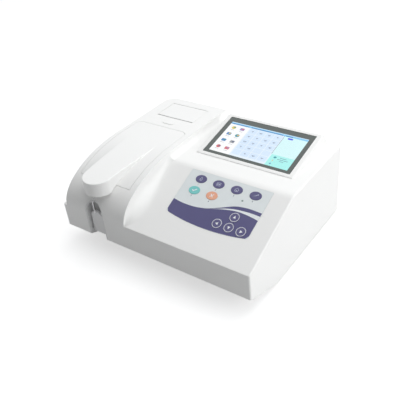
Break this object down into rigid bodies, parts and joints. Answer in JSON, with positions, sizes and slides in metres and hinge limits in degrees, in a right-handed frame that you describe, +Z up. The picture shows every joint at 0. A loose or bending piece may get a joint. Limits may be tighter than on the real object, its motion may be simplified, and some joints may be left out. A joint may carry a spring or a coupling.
{
  "type": "semi-automatic biochemistry analyzer",
  "caption": "Bench photometer with a sloped touch-screen console and membrane keypad, a raised optical module with a flip lid, sample probe bay and thermal printer.",
  "frame": {"origin": "on the table, under the middle of the case's footprint", "axes": "+Z up, -Y to the front where the user stands, +X to the user's right"},
  "size_m": [0.376, 0.308, 0.1574],
  "materials": {
    "case_white": "satin",
    "bay_grey": "satin",
    "keypad_film": "satin",
    "key_navy": "satin",
    "key_teal": "satin",
    "key_orange": "satin",
    "led_lens": "gloss",
    "screen_glass": "gloss",
    "display_metal": "satin",
    "circuit_board": "satin",
    "dark_plastic": "matte",
    "grey_plastic": "satin",
    "ceramic_head": "satin",
    "black_rubber": "matte",
    "paper_white": "matte",
    "steel": "satin",
    "bench_metal": "satin",
    "black_anodised": "satin",
    "clear_glass": "gloss",
    "filter_glass": "gloss",
    "motor_metal": "satin",
    "silicone": "satin",
    "panel_metal": "satin",
    "black_plastic": "satin",
    "port_metal": "satin"
  },
  "bodies": {
    "case": {"upper_case": "case_white", "lower_case": "case_white", "feet": "black_rubber", "case_screws": "steel", "chamber_tray": "dark_plastic", "hinge_pins": "steel", "aspiration_bay": "bay_grey", "paddle_sensor": "dark_plastic", "sample_probe": "steel", "printer_frame": "dark_plastic", "print_head": "ceramic_head", "screen_bezel": "case_white", "touch_glass": "screen_glass", "lcd_module": "display_metal", "keypad_overlay": "keypad_film", "keypad_board": "circuit_board", "status_led": "led_lens", "optical_bench": "bench_metal", "lamp_housing": "black_anodised", "condenser_lens": "clear_glass", "halogen_lamp": "clear_glass", "flow_cell_block": "black_anodised", "flow_cell": "clear_glass", "filter_motor": "motor_metal", "photodetector": "motor_metal", "pump_housing": "grey_plastic", "pump_motor": "motor_metal", "pump_tube": "silicone", "sample_tube": "silicone", "waste_tube": "silicone", "rear_panel": "panel_metal", "mains_inlet": "black_plastic", "fan_housing": "black_plastic", "data_ports": "port_metal", "waste_fitting": "port_metal", "main_board": "circuit_board", "power_supply": "circuit_board"},
    "lid": {"lid": "case_white"},
    "printer_door": {"printer_door": "case_white"},
    "platen": {"platen_roller": "black_rubber"},
    "paper_roll": {"paper_roll": "paper_white"},
    "release_button": {"door_release_button": "case_white"},
    "paddle": {"aspiration_paddle": "bay_grey"},
    "pump_rotor": {"pump_rotor": "grey_plastic", "pump_rollers": "grey_plastic"},
    "filter_wheel": {"filter_wheel": "black_anodised", "optical_filters": "filter_glass"},
    "fan_rotor": {"fan_rotor": "black_plastic"},
    "rocker": {"power_switch": "black_plastic"},
    "fuse_drawer": {"fuse_drawer": "black_plastic"},
    "key_1": {"key_1": "key_navy"},
    "key_2": {"key_2": "key_navy"},
    "key_3": {"key_3": "key_navy"},
    "key_4": {"key_4": "key_navy"},
    "key_5": {"key_5": "key_teal"},
    "key_6": {"key_6": "key_orange"},
    "key_up": {"key_up": "key_navy"},
    "key_left": {"key_left": "key_navy"},
    "key_down": {"key_down": "key_navy"},
    "key_right": {"key_right": "key_navy"}
  },
  "joints": [
    {"name": "lid_hinge", "type": "hinge", "parent": "case", "child": "lid", "pos_m": [-0.113, 0.033, 0.1449], "axis": [-1, 0, 0], "range_deg": [0, 78]},
    {"name": "printer_door_hinge", "type": "hinge", "parent": "case", "child": "printer_door", "pos_m": [-0.113, 0.126, 0.1449], "axis": [-1, 0, 0], "range_deg": [0, 75]},
    {"name": "platen_spin", "type": "hinge", "parent": "printer_door", "child": "platen", "pos_m": [-0.113, 0.086, 0.137], "axis": [1, 0, 0], "continuous": true},
    {"name": "paper_roll_spin", "type": "hinge", "parent": "case", "child": "paper_roll", "pos_m": [-0.113, 0.109, 0.113], "axis": [1, 0, 0], "continuous": true},
    {"name": "release_press", "type": "slide", "parent": "case", "child": "release_button", "axis": [0, 0, -1], "range_m": [0, 0.0015], "stiffness_N_per_m": 400},
    {"name": "paddle_press", "type": "hinge", "parent": "case", "child": "paddle", "pos_m": [-0.113, -0.14725, 0.0415], "axis": [-1, 0, 0], "range_deg": [0, 6], "stiffness_Nm_per_rad": 0.05},
    {"name": "pump_spin", "type": "hinge", "parent": "case", "child": "pump_rotor", "pos_m": [-0.14, -0.066, 0.1085], "axis": [0, 0, 1], "continuous": true},
    {"name": "filter_spin", "type": "hinge", "parent": "case", "child": "filter_wheel", "pos_m": [-0.129, -0.008, 0.062], "axis": [0, 1, 0], "continuous": true},
    {"name": "fan_spin", "type": "hinge", "parent": "case", "child": "fan_rotor", "pos_m": [0.12, 0.1348, 0.086], "axis": [0, 1, 0], "continuous": true},
    {"name": "rocker_press", "type": "hinge", "parent": "case", "child": "rocker", "pos_m": [0.104, 0.148, 0.042], "axis": [1, 0, 0], "range_deg": [0, 16]},
    {"name": "fuse_pull", "type": "slide", "parent": "case", "child": "fuse_drawer", "axis": [0, 1, 0], "range_m": [0, 0.016]},
    {"name": "key_1_press", "type": "slide", "parent": "case", "child": "key_1", "axis": [0, 0.3876, -0.9218], "range_m": [0, 0.0005], "stiffness_N_per_m": 300},
    {"name": "key_2_press", "type": "slide", "parent": "case", "child": "key_2", "axis": [0, 0.3876, -0.9218], "range_m": [0, 0.0005], "stiffness_N_per_m": 300},
    {"name": "key_3_press", "type": "slide", "parent": "case", "child": "key_3", "axis": [0, 0.3876, -0.9218], "range_m": [0, 0.0005], "stiffness_N_per_m": 300},
    {"name": "key_4_press", "type": "slide", "parent": "case", "child": "key_4", "axis": [0, 0.3876, -0.9218], "range_m": [0, 0.0005], "stiffness_N_per_m": 300},
    {"name": "key_5_press", "type": "slide", "parent": "case", "child": "key_5", "axis": [0, 0.3876, -0.9218], "range_m": [0, 0.0005], "stiffness_N_per_m": 300},
    {"name": "key_6_press", "type": "slide", "parent": "case", "child": "key_6", "axis": [0, 0.3876, -0.9218], "range_m": [0, 0.0005], "stiffness_N_per_m": 300},
    {"name": "key_up_press", "type": "slide", "parent": "case", "child": "key_up", "axis": [0, 0.3876, -0.9218], "range_m": [0, 0.0005], "stiffness_N_per_m": 300},
    {"name": "key_left_press", "type": "slide", "parent": "case", "child": "key_left", "axis": [0, 0.3876, -0.9218], "range_m": [0, 0.0005], "stiffness_N_per_m": 300},
    {"name": "key_down_press", "type": "slide", "parent": "case", "child": "key_down", "axis": [0, 0.3876, -0.9218], "range_m": [0, 0.0005], "stiffness_N_per_m": 300},
    {"name": "key_right_press", "type": "slide", "parent": "case", "child": "key_right", "axis": [0, 0.3876, -0.9218], "range_m": [0, 0.0005], "stiffness_N_per_m": 300}
  ]
}
